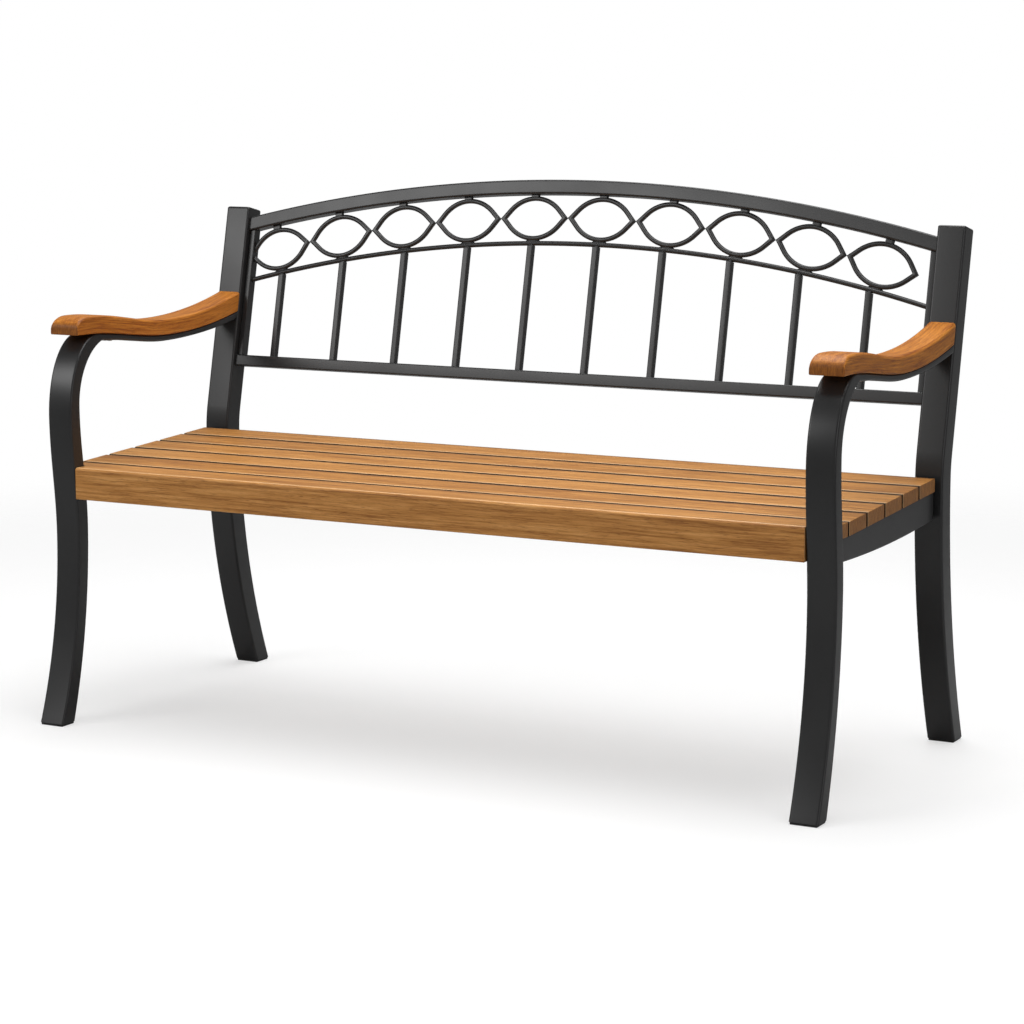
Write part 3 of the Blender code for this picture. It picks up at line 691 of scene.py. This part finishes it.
def front_slat_outline():
    """L section whose lip is the apron, from the lip's foot up round the front."""
    under = SEAT_FRONT_Z - SLAT_THICKNESS
    back = SEAT_FRONT + SLAT_WIDTH
    lip_back = SEAT_FRONT + APRON_THICKNESS
    outline = [
        (SEAT_FRONT + APRON_CHAMFER, APRON_BOTTOM),
        (SEAT_FRONT, APRON_BOTTOM + APRON_CHAMFER),
    ]
    for t in steps(6):
        turn = math.pi / 2 * t
        outline.append((
            SEAT_FRONT + FRONT_SLAT_ROUND * (1 - math.cos(turn)),
            SEAT_FRONT_Z - FRONT_SLAT_ROUND * (1 - math.sin(turn)),
        ))
    for t in steps(4):
        turn = math.pi / 2 * t
        outline.append((
            back - FRONT_SLAT_REAR_ROUND * (1 - math.sin(turn)),
            SEAT_FRONT_Z - FRONT_SLAT_REAR_ROUND * (1 - math.cos(turn)),
        ))
    return outline + [(back, under), (lip_back, under), (lip_back, APRON_BOTTOM)]


def cut_notch(obj, sign):
    """Cuts the board away round one front leg."""
    half = NOTCH_CUTTER / 2
    middle = placed(sign * (NOTCH_X + half), (NOTCH_BACK - half, NOTCH_CUTTER_Z))
    shape = bmesh.new()
    bmesh.ops.create_cube(shape, size=NOTCH_CUTTER)
    bmesh.ops.translate(shape, verts=shape.verts, vec=middle)
    mesh = bpy.data.meshes.new("notch")
    shape.to_mesh(mesh)
    shape.free()
    cutter = bpy.data.objects.new("notch", mesh)
    bpy.context.scene.collection.objects.link(cutter)
    boolean = obj.modifiers.new("notch", "BOOLEAN")
    boolean.object = cutter
    boolean.solver = "EXACT"
    bake(obj)
    bpy.data.objects.remove(cutter, do_unlink=True)


def bake(obj):
    """Turns the object's modifiers into its mesh."""
    bpy.context.view_layer.update()
    graph = bpy.context.evaluated_depsgraph_get()
    mesh = bpy.data.meshes.new_from_object(obj.evaluated_get(graph))
    obj.modifiers.clear()
    obj.data = mesh


def front_slat():
    """Front board with its apron, notched round the legs."""
    outline = front_slat_outline()
    shape = bmesh.new()
    loft(shape, [[placed(x, p) for p in outline] for x in (-SLAT_LENGTH / 2, SLAT_LENGTH / 2)])
    obj = piece("slat_1", shape, "seat_wood", "seat_slat_1")
    for sign in (-1, 1):
        cut_notch(obj, sign)
    edges = obj.modifiers.new("eased_ends", "BEVEL")
    edges.width = FRONT_SLAT_EASE
    edges.segments = 2
    edges.limit_method = "ANGLE"
    edges.angle_limit = math.radians(60)
    keep_faces_flat(obj)


def slat(number):
    back = slat_middle(number)
    tilt = math.atan(SEAT_SLOPE)
    across = Vector((0, math.cos(tilt), math.sin(tilt)))
    normal = Vector((0, -math.sin(tilt), math.cos(tilt)))
    middle = (back, seat_over(back) - SLAT_THICKNESS / 2)
    rings = []
    for t in steps(4):
        centre = placed(lerp(-0.5, 0.5, t) * SLAT_LENGTH, middle)
        low = centre - normal * SLAT_THICKNESS / 2
        high = centre + normal * SLAT_THICKNESS / 2
        rings.append(ring(low, high, across, SLAT_WIDTH, SLAT_CORNERS))
    bar(f"slat_{number}", "seat_wood", soften(rings, WOOD_EASE), f"seat_slat_{number}")


def side_rail(side, x):
    """Seat rail with a bowed underside, from the leg to the post."""
    rings = []
    start = LEG_KNEE[1][0] + GAP
    for t in steps(20):
        over = lerp(start, RAIL_END, t)
        under = lerp(start - RAIL_SLANT, RAIL_END, t)
        high = placed(x, (over, seat_over(over) - SLAT_THICKNESS - GAP))
        low = placed(x, (under, rail_under(under)))
        rings.append(ring(low, high, X_AXIS, RAIL_WIDTH, RAIL_CORNER))
    bar("seat_rail_" + side, "frame_paint", soften(rings, STEEL_EASE), "side_rail_" + side)


def domed_head(shape, centre, radius, height, sides=18):
    """Pan head with a hexagonal recess, its crown facing down."""
    crown = ((0.98, 0.0), (1.0, 0.2), (0.94, 0.62), (0.76, 0.9), (0.52, 1.0))
    recess = ((0.42, 1.0), (0.42, 0.35))
    rings = []
    for level, (reach, drop) in enumerate(crown + recess):
        points = []
        for i in range(sides):
            turn = 2 * math.pi * i / sides
            r = radius * reach
            if level >= len(crown):
                r *= math.cos(math.pi / 6) / math.cos(turn % (math.pi / 3) - math.pi / 6)
            spot = Vector((r * math.cos(turn), r * math.sin(turn), -height * drop))
            points.append(centre + spot)
        rings.append(points)
    loft(shape, rings)


def slat_screws():
    """Screws up through the two seat rails, one for each slat at each rail."""
    shape = bmesh.new()
    for number in range(1, SLATS + 1):
        back = min(max(slat_middle(number), SLAT_SCREWS_FROM), SLAT_SCREWS_TO)
        up = rail_under(back) + SLAT_SCREW_STAND
        for x in (-RAIL_X, RAIL_X):
            domed_head(shape, placed(x, (back, up)), **SLAT_SCREW_HEAD)
    piece("slat_screws", shape, "screw_steel")


def arm_screws():
    for side, x in SIDES:
        for where, back in ARM_SCREWS.items():
            shape = bmesh.new()
            centre = placed(x, (back, sag(back, SUPPORT_UNDER)))
            domed_head(shape, centre, **ARM_SCREW_HEAD)
            piece(f"arm_bolt_{where}_{side}", shape, "screw_steel", f"arm_screw_{where}_{side}")


# ---------------------------------------------------------------- back panel

def arch(apex, radius, x, below=0.0):
    """Rise of an arch at x, or of a second one that runs this far below it."""
    return apex - radius + math.sqrt((radius - below) ** 2 - x ** 2)


def top_rail_under(x):
    return arch(TOP_RAIL["apex"], TOP_RAIL["radius"], x, TOP_RAIL["height"])


def rod_under(x):
    return arch(ROD_APEX, ARCH_RADIUS, x, ROD_RADIUS)


def spindle_x(number):
    return SPINDLE_ROW_X + SPINDLE_PITCH * (number - (COUNT + 1) / 2)


def oval_turn(number, radius):
    """Turn of an oval, where its place in the row is measured along this radius."""
    return -(OVAL_ROW_X + OVAL_PITCH * (number - (COUNT + 1) / 2)) / radius


def top_rail():
    half = POST_INNER_X - GAP
    depth = TOP_RAIL["depth"]
    recess = TOP_RAIL["recess"] + depth / 2
    rings = []
    for t in steps(48):
        x = lerp(-half, half, t)
        low = on_panel(x, top_rail_under(x), recess)
        high = on_panel(x, arch(TOP_RAIL["apex"], TOP_RAIL["radius"], x), recess)
        rings.append(ring(low, high, PANEL_IN, depth, TOP_RAIL_CORNER, 4))
    bar("arched_rail", "frame_paint", rings, "top_rail")


def bottom_rail():
    half = POST_INNER_X - GAP
    top, depth = BOTTOM_RAIL["top"], BOTTOM_RAIL["depth"]
    recess = BOTTOM_RAIL["recess"] + depth / 2
    rings = []
    for x in (-half, 0, half):
        low = on_panel(x, top - BOTTOM_RAIL["height"], recess)
        rings.append(ring(low, on_panel(x, top, recess), PANEL_IN, depth, BOTTOM_RAIL_CORNER))
    bar("lower_rail", "frame_paint", rings, "bottom_rail")


def upright(name, low_x, high_x, top_of, depth, corner, node_name):
    """Square-edged bar from the bottom rail up to the curve top_of."""
    foot = BOTTOM_RAIL["top"] + GAP
    rings = []
    for t in steps(6):
        ends = [on_panel(x, lerp(foot, top_of(x) - GAP, t)) for x in (low_x, high_x)]
        rings.append(ring(*ends, PANEL_IN, depth, corner))
    bar(name, "frame_paint", rings, node_name)


def stiles():
    outer = POST_INNER_X - GAP
    inner = outer - STILE_WIDTH
    for side, low_x, high_x in (("left", -outer, -inner), ("right", inner, outer)):
        upright("post_liner_" + side, low_x, high_x, top_rail_under,
                STILE_DEPTH, STILE_CORNER, "stile_" + side)


def spindle(number):
    x = spindle_x(number)
    upright(f"square_bar_{number:02d}", x - SPINDLE / 2, x + SPINDLE / 2, rod_under,
            SPINDLE, SPINDLE_CORNER, f"spindle_{number:02d}")


def rod():
    rings = []
    for t in steps(60):
        x = lerp(-STILE_FACE, STILE_FACE, t)
        slope = -x / ARCH_RADIUS
        normal = Vector((-math.sin(slope), 0, 0)) + PANEL_UP * math.cos(slope)
        centre = on_panel(x, arch(ROD_APEX, ARCH_RADIUS, x))
        low, high = centre - normal * ROD_RADIUS, centre + normal * ROD_RADIUS
        rings.append(ring(low, high, PANEL_IN, 2 * ROD_RADIUS, ROD_RADIUS, 4))
    bar("curved_rod", "frame_paint", rings, "arch_rod", crease=60)


def oval_line(offset):
    """Closed outline of a pointed oval with its bar's centre line moved by offset."""
    sine = math.sin(OVAL_FLARE)
    cosine = math.cos(OVAL_FLARE)
    height = OVAL_HALF - OVAL_BAR / 2
    tip = OVAL_PITCH / 2 - OVAL_TIP_GAP - OVAL_BAR / 2 / sine
    radius = (tip * sine - height * cosine) / (1 - cosine)
    centre = height - radius
    swept = radius + offset
    turns = [lerp(OVAL_FLARE, -OVAL_FLARE, t) for t in steps(22)]
    upper = [(swept * math.sin(turn), centre + swept * math.cos(turn)) for turn in turns]
    point = (tip + offset / sine, 0)
    near = [(lerp(point[0], upper[0][0], t), lerp(0, upper[0][1], t)) for t in (0.25, 0.6)]
    half = [point] + near + upper + [(-x, y) for x, y in near[::-1]]
    return half + [(-x, -y) for x, y in half]


def oval(number):
    """One oval of the row, turned to follow the arch, with its lug to the top rail."""
    centre_radius = ARCH_RADIUS + ROD_RADIUS + GAP + OVAL_HALF
    turn = oval_turn(number, centre_radius)
    x = -centre_radius * math.sin(turn)
    rise = ROD_APEX - ARCH_RADIUS + centre_radius * math.cos(turn)

    def local(a, b):
        return on_panel(
            x + a * math.cos(turn) - b * math.sin(turn),
            rise + a * math.sin(turn) + b * math.cos(turn),
        )

    shape = bmesh.new()
    rings = [
        ring(local(*inner), local(*outer), PANEL_IN, OVAL_BAR, OVAL_CORNER)
        for inner, outer in zip(oval_line(-OVAL_BAR / 2), oval_line(OVAL_BAR / 2))
    ]
    loft(shape, rings, closed=True)
    if abs(x) + OVAL_PITCH / 2 > STILE_FACE:
        trim(shape, math.copysign(STILE_FACE, x))
    lug = []
    for t in steps(4):
        a = lerp(-LUG_HALF, LUG_HALF, t)
        top = OVAL_HALF
        for _ in range(4):
            under = top_rail_under(x + a * math.cos(turn) - top * math.sin(turn))
            top = (under - rise - a * math.sin(turn)) / math.cos(turn)
        low, high = local(a, OVAL_HALF - LUG_OVERLAP), local(a, top)
        lug.append(ring(low, high, PANEL_IN, OVAL_BAR - LUG_THINNER, LUG_CORNER, 2))
    loft(shape, soften(lug, LUG_EASE))
    piece(f"pointed_oval_{number:02d}", shape, "frame_paint", f"oval_{number:02d}")


def trim(shape, x):
    """Cuts off what lies further out than x, on its own side, and closes the cut."""
    bmesh.ops.bisect_plane(
        shape, geom=shape.verts[:] + shape.edges[:] + shape.faces[:],
        plane_co=(x, 0, 0), plane_no=(math.copysign(1.0, x), 0, 0), clear_outer=True,
    )
    rim = [edge for edge in shape.edges if edge.is_boundary]
    bmesh.ops.holes_fill(shape, edges=rim, sides=0)


def bead(shape, centre, along, across, size):
    """A small smooth weld: a squashed ball."""
    length, height, depth = size
    ball = bmesh.ops.create_icosphere(shape, subdivisions=2, radius=0.5)["verts"]
    for vertex in ball:
        p = vertex.co.copy()
        vertex.co = centre + along * p.x * length + across * p.z * height + PANEL_IN * p.y * depth


def welds():
    """Welds under the ovals, and at both ends of the square bars."""
    shape = bmesh.new()
    rod_over = ARCH_RADIUS + ROD_RADIUS
    for number in range(1, COUNT + 1):
        turn = oval_turn(number, rod_over + OVAL_HALF)
        x = -rod_over * math.sin(turn)
        rise = ROD_APEX - ARCH_RADIUS + rod_over * math.cos(turn)
        along = X_AXIS * math.cos(turn) + PANEL_UP * math.sin(turn)
        across = PANEL_UP * math.cos(turn) - X_AXIS * math.sin(turn)
        bead(shape, on_panel(x, rise), along, across, OVAL_WELD)
    for number in range(1, COUNT + 1):
        x = spindle_x(number)
        foot = on_panel(x, BOTTOM_RAIL["top"] + FOOT_WELD_RISE)
        head = on_panel(x, rod_under(x) + HEAD_WELD_RISE)
        bead(shape, foot, X_AXIS, PANEL_UP, SPINDLE_FOOT_WELD)
        bead(shape, head, X_AXIS, PANEL_UP, SPINDLE_HEAD_WELD)
    piece("panel_welds", shape, "frame_paint", crease=80)


# ---------------------------------------------------------------- the bench

def paint_cad_nodes():
    """The finish of its slot on every CAD node, for those that stay in view."""
    slot_of = {part["node"]: part["material_slot"] for part in frame["record"]["subparts"]}
    for name, obj in frame["nodes"].items():
        obj.data.materials.clear()
        obj.data.materials.append(FINISH[slot_of[name]])


def bench():
    paint_cad_nodes()
    for side, x in SIDES:
        leg(side, x)
        post(side, x)
        post_cap(side, x)
        arm(side, x)
        side_rail(side, math.copysign(RAIL_X, x))
    front_slat()
    for number in range(2, SLATS + 1):
        slat(number)
    slat_screws()
    arm_screws()
    top_rail()
    bottom_rail()
    stiles()
    rod()
    for number in range(1, COUNT + 1):
        spindle(number)
        oval(number)
    welds()


# ---------------------------------------------------------------- studio

def area_light(name, place, aim, size, power):
    data = bpy.data.lights.new(name, "AREA")
    data.shape = "RECTANGLE"
    data.size, data.size_y = size
    data.energy = power
    light = bpy.data.objects.new(name, data)
    light.location = place
    light.rotation_mode = "QUATERNION"
    light.rotation_quaternion = (Vector(aim) - Vector(place)).to_track_quat("-Z", "Y")
    bpy.context.scene.collection.objects.link(light)


def studio():
    """Soft lights, and a world that is white in view and dimmer as a light."""
    scene = bpy.context.scene
    scene.view_settings.view_transform = "Standard"
    scene.view_settings.look = "None"
    area_light("key", place=(-2.2, -3.0, 2.1), aim=(-0.2, 0.2, 0.7), size=(2.2, 1.1), power=44)
    area_light("overhead", place=(0.2, 0.2, 3.0), aim=(0, 0, 0.4), size=(3.2, 2.2), power=98)
    area_light("fill", place=(3.6, -1.8, 1.4), aim=(0, 0, 0.4), size=(1.8, 1.8), power=14)
    world = bpy.data.worlds.new("studio")
    scene.world = world
    world.use_nodes = True
    tree = world.node_tree
    background = tree.nodes["Background"]
    background.inputs["Color"].default_value = WHITE
    camera_ray = node(tree, "ShaderNodeLightPath").outputs["Is Camera Ray"]
    strength = remap(tree, camera_ray, (0.0, 1.0), (WORLD_LIGHT, 1.0))
    tree.links.new(strength, background.inputs["Strength"])


def pale_floor():
    """Pale, faintly glowing floor material that fades to nothing with distance."""
    material, tree, shader = new_material("pale_floor")
    shader.inputs["Base Color"].default_value = FLOOR_TONE
    shader.inputs["Roughness"].default_value = 0.7
    shader.inputs["Specular IOR Level"].default_value = 0.1
    shader.inputs["Emission Color"].default_value = WHITE
    camera_ray = node(tree, "ShaderNodeLightPath").outputs["Is Camera Ray"]
    glow = product(tree, camera_ray, FLOOR_GLOW)
    tree.links.new(glow, shader.inputs["Emission Strength"])
    where = node(tree, "ShaderNodeTexCoord").outputs["Object"]
    far = node(tree, "ShaderNodeVectorMath", {0: where}, operation="LENGTH").outputs["Value"]
    fade = remap(tree, far, FLOOR_FADE, blend="SMOOTHSTEP")
    clear = node(tree, "ShaderNodeBsdfTransparent").outputs["BSDF"]
    inputs = {0: fade, 1: shader.outputs["BSDF"], 2: clear}
    blend = node(tree, "ShaderNodeMixShader", inputs).outputs["Shader"]
    tree.links.new(blend, tree.nodes["Material Output"].inputs["Surface"])
    return material


def floor():
    rim = []
    for i in range(FLOOR_SIDES):
        turn = 2 * math.pi * i / FLOOR_SIDES
        rim.append((FLOOR_RADIUS * math.cos(turn), FLOOR_RADIUS * math.sin(turn), -FLOOR_DROP))
    mesh = bpy.data.meshes.new("floor")
    mesh.from_pydata(rim, [], [tuple(range(FLOOR_SIDES))])
    mesh.materials.append(pale_floor())
    obj = bpy.data.objects.new("floor", mesh)
    bpy.context.scene.collection.objects.link(obj)


def camera():
    data = bpy.data.cameras.new("camera")
    data.sensor_width = CAMERA_SENSOR
    data.lens = CAMERA_LENS
    level = math.cos(CAMERA_DOWN)
    forward = Vector((
        -math.sin(CAMERA_TURN) * level, math.cos(CAMERA_TURN) * level, -math.sin(CAMERA_DOWN),
    ))
    obj = bpy.data.objects.new("camera", data)
    obj.location = CAMERA_PLACE
    obj.rotation_mode = "QUATERNION"
    obj.rotation_quaternion = forward.to_track_quat("-Z", "Y")
    bpy.context.scene.collection.objects.link(obj)
    bpy.context.scene.camera = obj


bench()
studio()
floor()
camera()
